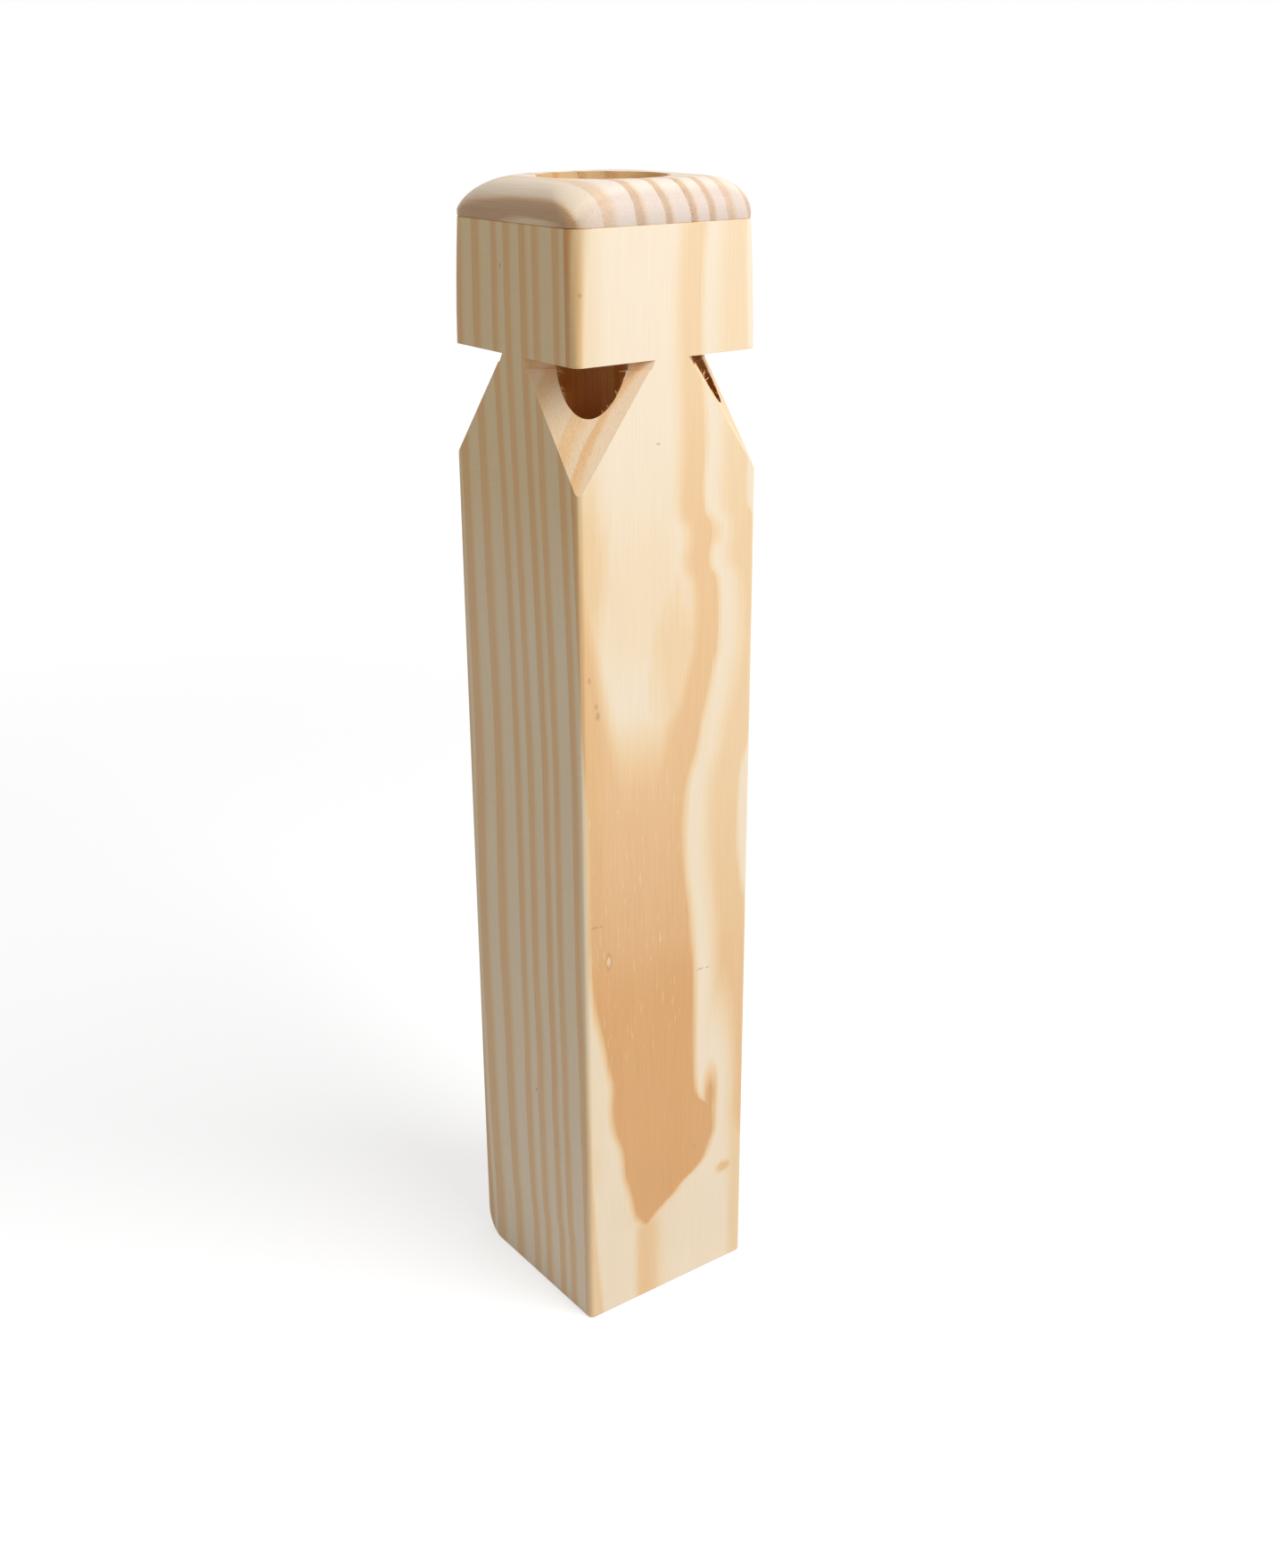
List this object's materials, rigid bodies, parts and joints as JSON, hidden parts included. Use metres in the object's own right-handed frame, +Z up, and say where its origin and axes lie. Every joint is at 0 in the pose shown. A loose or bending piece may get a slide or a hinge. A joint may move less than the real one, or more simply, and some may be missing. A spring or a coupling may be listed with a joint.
{
  "type": "train whistle",
  "caption": "Square wooden train whistle with corner sound windows, stopped tubes, glued-in plugs and a rounded mouthpiece plate with a central blowing hole.",
  "frame": {"origin": "middle of the square foot, on the surface that the whistle stands on", "axes": "+Z up along the block towards the mouthpiece, -Y is the front side with the broad amber figure, -X is the striped left side"},
  "size_m": [0.038, 0.038, 0.2126],
  "materials": {
    "block_pine": "sanded bare pine, satin, straight growth-ring stripes on the left and right sides and a broad amber figure on the front and back",
    "mouthpiece_pine": "sanded bare pine, paler and pinker than the block, with coarse growth rings",
    "plug_dowel": "bare hardwood dowel, sawn ends"
  },
  "bodies": {
    "root": {"body_block": "block_pine", "mouthpiece": "mouthpiece_pine", "fipple_plug_front_left": "plug_dowel", "fipple_plug_front_right": "plug_dowel", "fipple_plug_rear_right": "plug_dowel", "fipple_plug_rear_left": "plug_dowel"}
  },
  "joints": []
}
